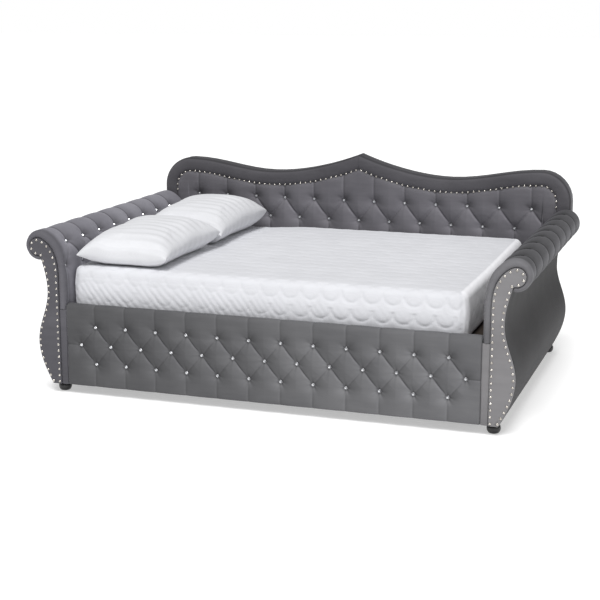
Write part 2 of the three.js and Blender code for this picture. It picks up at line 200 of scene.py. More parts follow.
def nearest(s, t, segments):
    """For every point (s, t), the smallest distance to the segments (s0, t0, s1, t1)."""
    best = np.full(s.shape, 1e9)
    for s0, t0, s1, t1 in segments:
        ds, dt = s1 - s0, t1 - t0
        q = np.clip(((s - s0) * ds + (t - t0) * dt) / (ds * ds + dt * dt + 1e-9), 0, 1)
        best = np.minimum(best, np.hypot(s - s0 - q * ds, t - t0 - q * dt))
    return best


def buttoned(s, t, buttons, pleats, deep, sharp=4.5, wide=34.0):
    """How far a deep-buttoned pad sinks below its crown at (s, t), the painted highlight along its
    pleats' creases, and the painted shade where it lies deep round a button.
    Near a button the pad sinks to deep, and rises from it as 1 - exp(-(distance/30)^1.3). Beside a
    pleat it sinks by a sharp part exp(-distance/sharp) and a wide part exp(-(distance/wide)^1.5),
    both times the pleat's weight. A small star of ripples runs out from each button. The painted
    highlight on a crease is stronger when it falls from left to right than when it rises."""
    near = np.full(s.shape, 1e9)
    angle = np.zeros(s.shape)
    for bs, bt in buttons:
        away = np.hypot(s - bs, t - bt)
        closer = away < near
        near = np.where(closer, away, near)
        angle = np.where(closer, np.arctan2(t - bt, s - bs), angle)
    drop = np.zeros(s.shape)
    fold = np.zeros(s.shape)
    for s0, t0, s1, t1, weight in pleats:
        away = nearest(s, t, [(s0, t0, s1, t1)])
        dip = 0.26 * np.exp(-away / sharp) + 0.3 * np.exp(-((away / wide) ** 1.5))
        drop = np.maximum(drop, weight * dip)
        ds, dt = s1 - s0, t1 - t0
        # Painted highlight: stronger on creases that fall from left to right.
        crease_lightness = 0.6 - 0.8 * ds * dt / (ds * ds + dt * dt)
        fold = np.maximum(fold, weight * crease_lightness * np.exp(-away / 2.6))
    rise = 1 - np.exp(-((near / 30) ** 1.3))
    star = 1.5 * np.exp(-near / 20) * np.cos(7 * angle + 0.8) * (near > 6)
    # Painted shade round each button.
    pit = np.exp(-((near / 15) ** 2))
    return deep * (1 - rise * (1 - drop)) + star, fold, pit


def slope_shading(s, t, sink, lean, strength=1.2):
    """Painted light and shade from the slope: 0.5 where the pad is level, more where it falls away
    along lean, the painted light's direction, less where it climbs, between 0.14 and 1."""
    slope_s = np.gradient(sink, axis=0) / np.gradient(s, axis=0)
    slope_t = np.gradient(sink, axis=1) / np.gradient(t, axis=1)
    return np.clip(0.5 + 0.5 * strength * (lean[0] * slope_s + lean[1] * slope_t), 0.14, 1.0)


def ripple(s, t, size, seed):
    """A gentle unevenness between -1 and 1: the mean of five waves of about the given size, each
    with its own direction and start drawn from the seed."""
    draw = np.random.default_rng(seed)
    total = np.zeros(np.broadcast(s, t).shape)
    for _ in range(5):
        turn, start = draw.uniform(0, 2 * np.pi, 2)
        length = size * draw.uniform(0.7, 1.5)
        total += np.sin((s * np.cos(turn) + t * np.sin(turn)) * 2 * np.pi / length + start)
    return total / 5


# Materials.

def material(name):
    """A new material with its nodes, its links and its principled shader."""
    made = bpy.data.materials.new(name)
    made.use_nodes = True
    tree = made.node_tree
    return made, tree, tree.nodes["Principled BSDF"]


def node(tree, kind, links=None, **values):
    """A shader node with its properties or inputs set, and other nodes' outputs linked in."""
    n = tree.nodes.new(kind)
    for key, value in values.items():
        if hasattr(n, key):
            setattr(n, key, value)
        else:
            n.inputs[key.replace("_", " ")].default_value = value
    for key, socket in (links or {}).items():
        tree.links.new(socket, n.inputs[key])
    return n


def feed(tree, shader, **sockets):
    """Links or sets the shader's inputs by name, with an underscore for each space."""
    for key, value in sockets.items():
        target = shader.inputs[key.replace("_", " ")]
        if isinstance(value, bpy.types.NodeSocket):
            tree.links.new(value, target)
        else:
            target.default_value = value


def attribute(tree, name):
    """The value of one of the mesh's own attributes."""
    return node(tree, "ShaderNodeAttribute", attribute_name=name).outputs["Fac"]


def coordinates(tree, scale=(1, 1, 1)):
    """Object coordinates, stretched by scale."""
    where = node(tree, "ShaderNodeTexCoord")
    mapping = node(tree, "ShaderNodeMapping", {"Vector": where.outputs["Object"]})
    mapping.inputs["Scale"].default_value = scale
    return mapping.outputs["Vector"]


def noise(tree, scale, detail=3, stretch=(1, 1, 1), rough=0.55):
    """The value of a noise texture on stretched object coordinates."""
    n = node(tree, "ShaderNodeTexNoise", {"Vector": coordinates(tree, stretch)},
             Scale=scale, Detail=detail, Roughness=rough)
    return n.outputs["Fac"]


def threads(tree, across, scale, **values):
    """The value of straight bands across an axis."""
    return node(tree, "ShaderNodeTexWave", {"Vector": coordinates(tree)}, wave_type="BANDS",
                bands_direction=across, Scale=scale, **values).outputs["Fac"]


def ramp(tree, value, stops):
    """Colours along a value: stops are (place, grey or colour)."""
    r = node(tree, "ShaderNodeValToRGB", {"Fac": value})
    for i, (place, tone) in enumerate(stops):
        e = r.color_ramp.elements[i] if i < 2 else r.color_ramp.elements.new(place)
        e.position = place
        e.color = (*tone, 1) if isinstance(tone, tuple) else (tone, tone, tone, 1)
    return r.outputs["Color"]


def mix(tree, factor, a, b, mode="MIX"):
    """Two colours mixed by a factor, which is a number or a socket."""
    m = node(tree, "ShaderNodeMix", data_type="RGBA", blend_type=mode)
    for key, value in ((0, factor), (6, a), (7, b)):
        if isinstance(value, (int, float)):
            m.inputs[key].default_value = value
        elif isinstance(value, tuple):
            m.inputs[key].default_value = (*value, 1)
        else:
            tree.links.new(value, m.inputs[key])
    return m.outputs[2]


def bump(tree, shader, height, strength, distance=0.001):
    """Small relief on the shader's normal."""
    b = node(tree, "ShaderNodeBump", {"Height": height}, Strength=strength, Distance=distance)
    tree.links.new(b.outputs["Normal"], shader.inputs["Normal"])


def velvet(name, pile, brushed, sheen=0.25):
    """Velvet: broad nap patches and faint brush marks between two tones, shown at twice the value of
    lay (painted light and shade), with a painted highlight along the pleats and painted
    shade round the buttons, with short fine pile and a soft sheen."""
    made, tree, shader = material(name)
    nap = mix(tree, 0.3, noise(tree, 3.2, 3), noise(tree, 8, 4, (0.7, 1.6, 5)))
    colour = ramp(tree, nap, [(0.36, pile), (0.64, brushed)])
    # Painted light and shade: the colour times twice lay.
    lay = ramp(tree, attribute(tree, "lay"), [(0.0, 0.0), (1.0, 1.0)])
    shown = mix(tree, 1.0, colour, lay, "MULTIPLY")
    # Painted highlight: the colour lightened where fold marks a pleat.
    turned = ramp(tree, attribute(tree, "fold"), [(0.3, 0.0), (1.0, 0.6)])
    light = mix(tree, 1.0, colour, (0.95, 0.95, 0.97), "MULTIPLY")
    shown = mix(tree, turned, shown, light)
    # Painted shade: darker where pit marks the hollow round a button.
    painted_pit_shade = ramp(tree, attribute(tree, "pit"), [(0.15, 1.0), (1.0, 0.35)])
    feed(tree, shader, Base_Color=mix(tree, 1.0, shown, painted_pit_shade, "MULTIPLY"), Roughness=0.7,
         Specular_IOR_Level=0.22, Sheen_Weight=sheen, Sheen_Roughness=0.3,
         Sheen_Tint=(0.88, 0.88, 0.95, 1))
    bump(tree, shader, mix(tree, 0.4, noise(tree, 900, 2), noise(tree, 120, 3)), 0.35, 0.0006)
    return made


def cotton(name, tone, weave, relief, stripe=0.0):
    """White cotton: faint cloudy tone, a fine weave, satin stripes across Y where asked, and painted
    light, paler where lay is over 0.5."""
    made, tree, shader = material(name)
    paler = tuple(min(1, c * 1.05) for c in tone)
    cloud = ramp(tree, noise(tree, 6, 3), [(0.35, tone), (0.65, paler)])
    cloth = mix(tree, 0.5, *(threads(tree, axis, weave, Distortion=0.6, Detail=1.0) for axis in "XY"))
    shown = mix(tree, 0.05, cloud, cloth, "MULTIPLY")
    # Painted light: paler where lay is over 0.5.
    painted_lightening = ramp(tree, attribute(tree, "lay"), [(0.5, 0.0), (1.0, 1.0)])
    shown, rough = mix(tree, painted_lightening, shown, (0.96, 0.96, 0.99)), 0.88
    if stripe:
        bands = threads(tree, "Y", stripe, Distortion=0.25, Detail=1.0)
        shown = mix(tree, 1.0, shown, ramp(tree, bands, [(0.4, 0.965), (0.6, 1.0)]), "MULTIPLY")
        rough = ramp(tree, bands, [(0.4, 0.85), (0.6, 0.5)])
    feed(tree, shader, Base_Color=shown, Roughness=rough, Sheen_Weight=0.12, Specular_IOR_Level=0.3)
    bump(tree, shader, mix(tree, 0.5, cloth, noise(tree, 160, 3)), relief, 0.0008)
    return made


def timber(name, stretch):
    """Very dark pine: growth lines and pores drawn out along one direction."""
    made, tree, shader = material(name)
    pores = noise(tree, 60, 3, stretch)
    colour = ramp(tree, noise(tree, 9, 5, stretch, 0.6),
                  [(0.3, (0.024, 0.017, 0.013)), (0.7, (0.052, 0.036, 0.026))])
    feed(tree, shader, Base_Color=mix(tree, 0.25, colour, pores, "MULTIPLY"),
         Roughness=ramp(tree, pores, [(0.3, 0.7), (0.7, 0.5)]))
    bump(tree, shader, pores, 0.3)
    return made


def metal(name, dark, bright, rough):
    """Metal: tone and polish that vary with handling, over a faint dimpled surface."""
    made, tree, shader = material(name)
    patina = noise(tree, 30, 4)
    feed(tree, shader, Base_Color=ramp(tree, patina, [(0.35, dark), (0.65, bright)]),
         Roughness=ramp(tree, patina, [(0.3, rough * 1.4), (0.7, rough * 0.8)]), Metallic=1.0)
    bump(tree, shader, noise(tree, 400, 2), 0.1, 0.0003)
    return made


def lacquer(name, dark, bright):
    """Gloss lacquer over wood, with a clear coat and faint scuffs."""
    made, tree, shader = material(name)
    scuff = noise(tree, 40, 5, (1, 1, 3))
    feed(tree, shader, Base_Color=ramp(tree, scuff, [(0.4, dark), (0.7, bright)]),
         Roughness=ramp(tree, scuff, [(0.35, 0.22), (0.7, 0.42)]), Coat_Weight=0.15)
    bump(tree, shader, scuff, 0.05)
    return made


def crystal(name):
    """Cut crystal over silver foil: bright, nearly mirror-smooth, with faintly milky facets."""
    made, tree, shader = material(name)
    spark = noise(tree, 160, 2)
    feed(tree, shader, Roughness=ramp(tree, spark, [(0.3, 0.16), (0.7, 0.04)]), Metallic=0.75,
         Base_Color=ramp(tree, spark, [(0.38, (0.42, 0.43, 0.46)), (0.6, (0.95, 0.95, 0.97))]),
         Coat_Weight=1.0)
    return made


def lining_cloth(name):
    """Dark lining: a plain weave with slubs."""
    made, tree, shader = material(name)
    weave = mix(tree, 0.5, *(threads(tree, axis, 220.0, Distortion=1.0) for axis in "XZ"))
    colour = ramp(tree, noise(tree, 30, 4, (1, 1, 8)),
                  [(0.35, (0.016, 0.016, 0.018)), (0.7, (0.034, 0.034, 0.038))])
    feed(tree, shader, Base_Color=mix(tree, 0.3, colour, weave, "MULTIPLY"), Roughness=0.9)
    bump(tree, shader, weave, 0.4, 0.0005)
    return made


# Copies of one velvet, each in its own tone. The left arm pad and the right facing are painted lighter
# as painted light; the left facing, the right arm pad and the right outer cover are painted darker as
# painted shade.
rail_velvet = velvet("rail_velvet", (0.185, 0.185, 0.195), (0.245, 0.245, 0.255))
back_velvet = velvet("back_velvet", (0.222, 0.214, 0.238), (0.305, 0.295, 0.325), 0.2)
left_arm_lit_velvet = velvet("left_arm_velvet_painted_light", (0.39, 0.38, 0.43), (0.51, 0.50, 0.56))
right_arm_shaded_velvet = velvet("right_arm_velvet_painted_shade", (0.115, 0.113, 0.121), (0.17, 0.168, 0.178), 0.16)
left_facing_shaded_velvet = velvet("left_facing_shaded_velvet", (0.157, 0.153, 0.173), (0.213, 0.208, 0.233))
right_facing_lit_velvet = velvet("right_facing_lit_velvet", (0.37, 0.36, 0.372), (0.45, 0.44, 0.452))
right_cover_shaded_velvet = velvet("outer_cover_velvet_painted_shade", (0.045, 0.043, 0.045), (0.063, 0.061, 0.063), 0.05)
left_side_velvet = velvet("left_cover_velvet", (0.105, 0.102, 0.112), (0.145, 0.141, 0.154), 0.12)
sheet_cotton = cotton("quilted_cotton", (0.675, 0.68, 0.71), 260.0, 0.25)
pillow_cotton = cotton("striped_cotton", (0.725, 0.73, 0.755), 320.0, 0.18, 4.76)
dark_timber_x = timber("dark_timber_along_x", (0.12, 1.5, 1.5))
dark_timber_y = timber("dark_timber_along_y", (1.5, 0.12, 1.5))
dark_timber_z = timber("dark_timber_along_z", (1.5, 1.5, 0.12))
pewter = metal("pewter_nails", (0.46, 0.43, 0.39), (0.72, 0.69, 0.64), 0.22)
cup_metal = metal("button_cup_metal", (0.18, 0.18, 0.19), (0.34, 0.34, 0.35), 0.25)
bracket_metal = metal("bracket_steel", (0.05, 0.05, 0.055), (0.12, 0.12, 0.125), 0.4)
foot_lacquer = lacquer("black_lacquer", (0.003, 0.003, 0.004), (0.010, 0.010, 0.011))
button_crystal = crystal("button_crystal")
rear_lining = lining_cloth("rear_lining")


# Nail heads and buttons, each a small revolved shape set down many times.

def revolved(profile, sides):
    """Points of a profile (radius, height) turned round its axis, pole closed."""
    turn = np.arange(sides) * 2 * np.pi / sides
    r, h = profile[:, 0][:, None], profile[:, 1][:, None]
    return np.stack([r * np.cos(turn), r * np.sin(turn), h + 0 * turn], -1)


def set_down(shape, places, normals):
    """Copies of a revolved shape at the places, their axes along the normals."""
    normals = normals / np.linalg.norm(normals, axis=1)[:, None]
    helper = np.where(np.abs(normals[:, 2:]) > 0.9, [[1.0, 0, 0]], [[0, 0, 1.0]])
    side = np.cross(helper, normals)
    side /= np.linalg.norm(side, axis=1)[:, None]
    up = np.cross(normals, side)
    turned = (shape[None, :, :, 0:1] * side[:, None, None] + shape[None, :, :, 1:2] * up[:, None, None]
              + shape[None, :, :, 2:3] * normals[:, None, None])
    return [part(p, closed_v=True) for p in turned + places[:, None, None]]


nail_profile = np.array([(0, -1.5), (nail_radius * 0.9, -1.5), (nail_radius, 0),
                         (nail_radius * 0.82, nail_height * 0.55),
                         (nail_radius * 0.45, nail_height * 0.9), (0, nail_height)])
cup_profile = np.array([(0, -3), (0.9, -3), (1, -0.5), (0.98, 1.6), (0.84, 1.9), (0, 1.5)])
stone_profile = np.array([(0, 1.0), (0.86, 1.0), (0.84, 2.8), (0.55, 6.0), (0.3, 7.2), (0, 7.3)])
nail_shape = revolved(nail_profile, 8)
cup_shape = revolved(cup_profile * (button_radius, 1), 14)
stone_shape = revolved(stone_profile * (button_radius, 1), 8)


def nails(name, line, first, at_y, mirror, node_name):
    """Nail heads facing forward at every pitch along a line in X and Z, spread evenly about its
    middle and starting at least the first distance from its ends."""
    total = lengths(line)[-1]
    count = int((total - 2 * first) // nail_pitch) + 1
    start = (total - (count - 1) * nail_pitch) / 2
    place = along(line, start + np.arange(count) * nail_pitch)[0]
    at = np.stack([mirror * place[:, 0], np.full(count, at_y), place[:, 1]], -1)
    ways = np.tile([0.0, -1.0, 0.0], (count, 1))
    return build(name, set_down(nail_shape, at, ways), pewter, [node_name])


def buttons(name, places, normals):
    """Crystal buttons, each a cut stone held in a thin metal cup."""
    places, normals = np.array(places, float), np.array(normals, float)
    build(name + "_cups", set_down(cup_shape, places, normals), cup_metal)
    build(name + "_stones", set_down(stone_shape, places, normals), button_crystal,
          smooth=False)


# Front rail.

rail_base_y = rail_low[1] + 18
rail_deep = 18.5
rail_pitch = 161.5
rail_rows = (347.6, 253.7, 159.8)


def build_rail():
    """The rail's padded face and top: a section in Y and Z, carried along X. The section runs up the
    face, over a rounded edge and back across the top, and stands out by what the buttoning leaves."""
    reach = rail_high[0] - 0.2
    top = rail_high[2] - 9
    face = np.stack([np.full(130, rail_base_y), np.linspace(floor_gap + 1, top - 8, 130)], -1)
    turn = np.linspace(0, np.pi / 2, 8)[1:]
    edge = np.stack([rail_base_y + 8 - 8 * np.cos(turn), top - 8 + 8 * np.sin(turn)], -1)
    flat = np.stack([np.linspace(rail_base_y + 14, rail_high[1] - 5, 7), np.full(7, top)], -1)
    fall = np.array([[rail_high[1] - 1, top - 0.6]])
    section = np.concatenate([face, edge, flat, fall])
    outward = -right_of(section)
    t = lengths(section) + floor_gap + 1
    x = np.linspace(-reach, reach, 620)
    s, tt = np.meshgrid(x, t, indexing="ij")
    top_x = (np.arange(12) - 5.5) * rail_pitch
    middle_x = (np.arange(13) - 6) * rail_pitch
    spots = [(bx, rail_rows[0]) for bx in top_x] + [(bx, rail_rows[1]) for bx in middle_x]
    spots += [(bx, rail_rows[2]) for bx in top_x]
    pleats = []
    for bx in top_x:
        for row, beyond, weight in ((0, t[-1] + 40, 0.4), (2, floor_gap - 40, 0.42)):
            for side in (-1, 1):
                pleats.append((bx, rail_rows[row], bx + side * rail_pitch / 2, rail_rows[1], 1.0))
            pleats.append((bx, rail_rows[row], bx, beyond, weight))
    for side in (-1, 1):
        pleats.append((side * 6 * rail_pitch, rail_rows[1], side * (reach + 40), rail_rows[1], 0.7))
    sink, fold, pit = buttoned(s, tt, spots, pleats, rail_deep)
    # Painted light and shade: the slope shading, and the rail painted darker to the left and lighter to
    # the right.
    lay = slope_shading(s, tt, sink, (0.8, 0.45)) * np.interp(s, [-reach, 0, reach], [0.70, 1.0, 1.24])
    ends = 7 * np.exp(-(reach - np.abs(s)) / 3)
    bottom = 6 * np.exp(-(tt - t[0]) / 4)
    slack = 0.8 * ripple(s, tt, 120, 3)
    on_top = np.clip((tt - (floor_gap + 1 + face[-1, 1] - face[0, 1])) / 30, 0, 1)
    rise = (rail_deep - sink + slack) * (1 - 0.35 * on_top) - ends - bottom
    rise = np.clip(rise, -4, None)
    shell = np.empty((len(x), len(section) + 4, 3))
    shell[..., 0] = x[:, None]
    shell[:, :-4, 1] = section[:, 0] + outward[:, 0] * rise
    shell[:, :-4, 2] = section[:, 1] + outward[:, 1] * rise
    board_y, board_z = span("front_rail_board")[0][1], span("front_rail_board")[1][2]
    back = [(rail_high[1] - 0.3, board_z + 0.4), (board_y - 0.3, board_z + 0.4),
            (board_y - 0.3, floor_gap), (rail_base_y + 5, floor_gap)]
    shell[:, -4:, 1:] = np.array(back)
    build("rail_buttoned_pad", [part(shell, closed_v=True, cap=True, fold=fold, pit=pit, lay=lay)],
          rail_velvet, ["front_rail_pad"])
    buttons("rail_buttons", [(bx, rail_base_y - 1.0, bz) for bx, bz in spots],
            [(0, -1, 0)] * len(spots))


# Arms.

STRAIGHT, RISE, ROLL = 42, 56, 82


def face_over_roll(face, base, centre, radius, end):
    """From the straight inner face up a Bezier curve and clockwise round a roll to the end angle."""
    join = centre + radius * np.array([np.cos(join_angle), np.sin(join_angle)])
    lift = 0.65 * (join[1] - spring_height)
    reach = 0.52 * (join[0] - face)
    straight = np.stack([np.full(STRAIGHT, face), np.linspace(base, spring_height, STRAIGHT)], -1)
    pull = join + reach * np.array([-np.sin(join_angle), np.cos(join_angle)])
    curve = bezier((face, spring_height), (face, spring_height + lift), pull, join, RISE)[1:]
    turn = np.linspace(join_angle, np.radians(end), ROLL)[1:]
    roll = centre + radius * np.stack([np.cos(turn), np.sin(turn)], -1)
    return np.concatenate([straight, curve, roll])


def side_reach(z):
    """Distance of the arm's outer side from its inner face: belly, waist and neck joined by quarter
    waves of a cosine."""
    quarter = np.pi / 2
    upper = neck[0] - (neck[0] - waist[0]) * np.cos(quarter * (z - waist[1]) / (neck[1] - waist[1]))
    swell = np.cos(quarter * (z - belly[1]) / (waist[1] - belly[1])) ** 2
    middle = waist[0] + (belly[0] - waist[0]) * swell
    fall = np.cos(quarter * (belly[1] - z) / (belly[1] - floor_gap))
    lower = arm_foot + (belly[0] - arm_foot) * fall
    return np.where(z > waist[1], upper, np.where(z > belly[1], middle, lower))


def side_line(step=5.0):
    """The outer side in X and Z, from the neck down to the base."""
    z = np.arange(neck[1], floor_gap, -step)
    z = np.append(z, floor_gap)
    return np.stack([side_reach(z), z], -1)


arm_pitch = 178.9
arm_upper = -687.0 + arm_pitch * np.arange(8)
arm_lower = -776.0 + arm_pitch * np.arange(9)
arm_deep = 20.0
band_depth = 24.0


def height_on(line, z):
    """Distance along the arm's section where it first reaches the height z."""
    return np.interp(z, line[:STRAIGHT + RISE, 1], lengths(line)[:STRAIGHT + RISE])


def build_arm_pad(sign, label, cloth):
    """The arm's padded skin: the section up the inner face and over the roll, carried back along Y.
    At the front it turns over in half an ellipse to a band beside the facing. The buttoning sinks it
    along its own normal."""
    outer = face_over_roll(0, pad_base, roll_centre, roll_radius, -97.03)
    inner = face_over_roll(pad_thickness - 0.2, pad_base, head_centre, head_radius + 0.4, -99.5)
    run = lengths(outer)
    normal = -right_of(outer)
    turn = np.linspace(0, np.pi, 15)[:-1]
    band_y = np.where(turn < np.pi / 2, front_y - 2 + 12 * (1 - np.sin(turn)),
                      front_y - 2 + band_depth * (1 - np.sin(turn)))
    band_share = (1 - np.cos(turn)) / 2
    y = np.arange(front_y - 2 + band_depth, arm_rear - 2, 4.0)
    y = np.append(y, arm_rear - 0.5)
    count = len(turn)
    path_y = np.concatenate([band_y, y])
    share = np.concatenate([band_share, np.ones(len(y))])
    thick = outer - inner
    flat = np.array([inner[:, None, k] + thick[:, None, k] * share for k in (0, 1)])
    unrolled = np.concatenate([y[0] - (count - np.arange(count)) * 2.6, y])
    s, t = np.meshgrid(run, unrolled, indexing="ij")
    upper_at, lower_at = height_on(outer, 760.0), height_on(outer, 648.0)
    spots = [(upper_at, by) for by in arm_upper] + [(lower_at, by) for by in arm_lower]
    pleats = []
    for by in arm_upper:
        pleats.append((upper_at, by, run[STRAIGHT + RISE + 10], by, 0.95))
        pleats.append((run[STRAIGHT + RISE + 10], by, run[-1] + 30, by, 0.45))
        pleats.append((upper_at, by, lower_at, by - arm_pitch / 2, 0.9))
        pleats.append((upper_at, by, lower_at, by + arm_pitch / 2, 0.9))
    for by in arm_lower:
        pleats.append((lower_at, by, -60, by, 0.7))
    front = unrolled[0] - 20
    band_folds = [run[STRAIGHT + RISE + k] for k in (4, 30, 52)] + [run[STRAIGHT + 34]]
    for at in band_folds:
        pleats.append((at, front, at + 3, front + 48, 0.32))
    sink, fold, pit = buttoned(s, t, spots, pleats, arm_deep)
    # Painted light and shade from the slope, stronger on the right arm.
    shade = slope_shading(s, t, sink, (0.45, 0.8), 1.3 if sign < 0 else 2.4)
    for by in arm_upper:
        # Painted highlight: a glint on the front side of each upper crease.
        glint = np.exp(-(((s - upper_at - 34) / 26) ** 2) - ((t - by + 6) / 6) ** 2)
        fold = np.maximum(fold, 0.75 * glint)
    sink = sink + 0.8 * ripple(s, t, 140, 7) + 0.8
    edge = np.clip((t - y[0]) / 45, 0, 1)
    sink = sink * np.where(t < y[0] + 45, 0.45 + 0.55 * edge, 1.0)
    rear = 6 * np.exp(-(arm_rear - t) / 6)
    tail = 5 * np.exp(-(run[-1] - s) / 8)
    sink = np.clip(sink + rear + tail, 0, arm_deep + 4)
    facing_share = 1 - share
    shell = np.empty((len(outer), len(path_y) + 2, 3))
    shell[:, :-2, 0] = flat[0] - normal[:, 0:1] * sink * share
    shell[:, :-2, 2] = flat[1] - normal[:, 1:2] * sink * share
    shell[:, :-2, 1] = path_y + sink * np.sqrt(np.clip(facing_share * share * 4, 0, 1)) * 0.6
    for k, back_y in ((-2, arm_rear - 0.5), (-1, path_y[0] + 3)):
        shell[:, k, 0], shell[:, k, 2], shell[:, k, 1] = inner[:, 0], inner[:, 1], back_y
    shell[..., 0] = sign * (face_x + shell[..., 0])
    # Painted shade: the band darkened where it meets the facing and along its creases.
    facing_gap_shade = 0.9 * np.exp(-np.arange(t.shape[1]) / 1.4)
    pit = np.where(t < y[0], np.maximum(pit, facing_gap_shade), pit)
    pit = np.maximum(pit, np.where(t < y[0] + 20, 0.6 * fold, 0))
    past_band = np.clip((t - y[0] - 4) / 26, 0, 1)
    # Painted light and shade: the left band painted darker, the right band lighter, and the roll tones
    # set per arm.
    band_painted_light, roll_painted_light = (0.27, 1.0) if sign < 0 else (0.95, 0.8)
    lay = roll_painted_light * shade * past_band + band_painted_light * (1 - past_band)
    shell_part = part(shell, closed_v=True, cap=True, fold=np.where(t < y[0], 0, fold), pit=pit,
                      lay=lay)
    build(f"{label}_arm_buttoned_pad", [shell_part], cloth, [f"{label}_arm_pad"])
    places, ways = [], []
    for at, by in spots:
        place, way = along(outer, np.array([at]))
        out = np.array([-way[0, 1], way[0, 0]])
        spot = place[0] - out * (arm_deep - 1.0)
        places.append((sign * (face_x + spot[0]), by, spot[1]))
        ways.append((sign * out[0], 0, out[1]))
    buttons(f"{label}_arm_buttons", places, ways)


def build_arm_cover(sign, label):
    """The smooth outer side: its S-shaped line carried back along Y as a thin wall, with soft drags
    hanging from the roll that fade as exp(-drop/70)."""
    line = side_line(5.0)
    normal = -right_of(line)
    normal = np.where(normal[:, :1] < 0, -normal, normal)
    y = np.linspace(cover_low[1] + 0.2, cover_high[1] - 0.2, 200)
    zz, yy = np.meshgrid(line[:, 1], y, indexing="ij")
    drag = 1.8 * np.exp(-(neck[1] - zz) / 70) * np.cos(2 * np.pi * (yy - arm_upper[0]) / arm_pitch)
    drag += 0.5 * ripple(zz * 0.4, yy, 260, 11)
    drag *= np.clip(1 - np.exp(-(yy - y[0]) / 25), 0, 1)
    ends = 2.0 * np.exp(-np.minimum(yy - y[0], y[-1] - yy) / 2.5)
    out = np.empty((len(line), len(y), 3))
    out[..., 0] = line[:, 0:1] + normal[:, 0:1] * (drag - ends)
    out[..., 2] = line[:, 1:2] + normal[:, 1:2] * (drag - ends)
    out[..., 1] = y
    inside = np.empty_like(out)
    inside[..., 0] = line[:, 0:1] - 4
    inside[..., 2] = line[:, 1:2]
    inside[..., 1] = y
    shell = np.concatenate([out, inside[:, ::-1]], 1)
    shell[..., 0] = sign * (face_x + shell[..., 0])
    cloth = left_side_velvet if sign < 0 else right_cover_shaded_velvet
    build(f"{label}_arm_smooth_cover", [part(shell, closed_v=True, cap=True)], cloth,
          [f"{label}_arm_outer_cover"])


def facing_outline():
    """The facing's outline: up the inner side, round the head and down the outer side."""
    inner = face_over_roll(pad_thickness, floor_gap, head_centre, head_radius, -100)
    return joined(inner, side_line(4.0))


def build_facing(sign, label, cloth):
    """The scroll-shaped front panel: its outline stepped inwards over a rounded edge, then filled
    flat, with the back the same."""
    line = evenly(facing_outline(), 3.5)
    base = np.linspace(line[-1], line[0], 8)[1:-1]
    loop = np.concatenate([line, base])
    inward = right_of(loop, closed=True)
    inward[0], inward[len(line) - 1] = (1, 1), (-1.3, 1)
    inward[len(line):] = (0, 1)
    steps = [(9, 0.0), (0.2, 0.0), (0.0, 1.5), (0.0, 6.0), (0.35, 9.0), (1.2, 10.6), (2.6, 11.6),
             (5.0, 12.0), (12.0, 12.2)]
    rings = []
    for inset, forward in steps:
        ring = loop + inward * inset
        ring[:, 1] = np.clip(ring[:, 1], floor_gap, None)
        y = facing_high[1] - forward
        rings.append(np.stack([sign * (face_x + ring[:, 0]), np.full(len(ring), y), ring[:, 1]], -1))
    shell = np.array(rings)
    build(f"{label}_arm_scroll_facing", [part(shell, closed_v=True, cap=True)], cloth,
          [f"{label}_arm_facing"])
    dense = evenly(facing_outline(), 2.0)
    nail_line = dense + right_of(dense) * nail_inset + np.array([face_x, 0])
    keep = nail_line[:, 1] > floor_gap + 1
    nails(f"{label}_arm_nails", nail_line[keep], nail_inset, facing_low[1] + 0.3, sign,
          f"{label}_arm_nail_trim")


def build_inner_base(sign, label, cloth):
    """The plain strip below the arm pad: a rectangle with rounded corners in X and Y, carried up."""
    x0, x1 = base_low[0] + 0.1, base_high[0]
    y0, y1 = base_low[1], base_high[1]
    corner = 7.0
    turn = np.linspace(0, np.pi / 2, 6)
    arcs = []
    for k, (cx, cy) in enumerate(((x1, y1), (x0, y1), (x0, y0), (x1, y0))):
        centre = np.array([cx - np.sign(cx - (x0 + x1) / 2) * corner, cy - np.sign(cy) * corner])
        around = turn + k * np.pi / 2
        arcs.append(centre + corner * np.stack([np.cos(around), np.sin(around)], -1))
    loop = np.concatenate(arcs)
    middle = loop.mean(0)
    rows = []
    for z, shrink in ((floor_gap, 3), (floor_gap + 3, 0), (base_high[2] - 3, 0), (base_high[2], 3)):
        way = (loop - middle) / np.abs(loop - middle).max(0)
        ring = loop - np.sign(way) * shrink * (np.abs(way) > 0.5)
        rows.append(np.column_stack([sign * ring[:, 0], ring[:, 1], np.full(len(ring), z)]))
    build(f"{label}_arm_base_strip", [part(np.array(rows), closed_v=True, cap=True)], cloth,
          [f"{label}_arm_inner_base"])


# Back.

def crown_line():
    """The right half of the crown, from the peak out and down to the end of the shoulder."""
    drop = peak_height - dip_height
    sweep = bezier((0, peak_height), (0.23 * dip_x, peak_height - 0.44 * drop),
                   (0.63 * dip_x, dip_height), (dip_x, dip_height), 60)
    width = crest_x - dip_x
    rise = bezier((dip_x, dip_height), (dip_x + 0.36 * width, dip_height),
                  (dip_x + 0.64 * width, crest_height), (crest_x, crest_height), 60)
    turn = bezier((crest_x, crest_height), (crest_x + 0.52 * (crown_half - crest_x), crest_height),
                  (crown_half, 0.45 * shoulder_height + 0.55 * crest_height),
                  (crown_half, shoulder_height), 60)
    return joined(sweep, rise, turn, np.array([[crown_half, crown_base]]))


def back_line():
    """The right half of the back's outline, from the peak down to the floor gap."""
    bend = (crown_base - flare_base) / 2
    flare = bezier((crown_half, crown_base), (crown_half, crown_base - bend),
                   (back_base_half, flare_base + bend), (back_base_half, flare_base), 40)
    return joined(crown_line(), flare, np.array([[back_base_half, floor_gap]]))


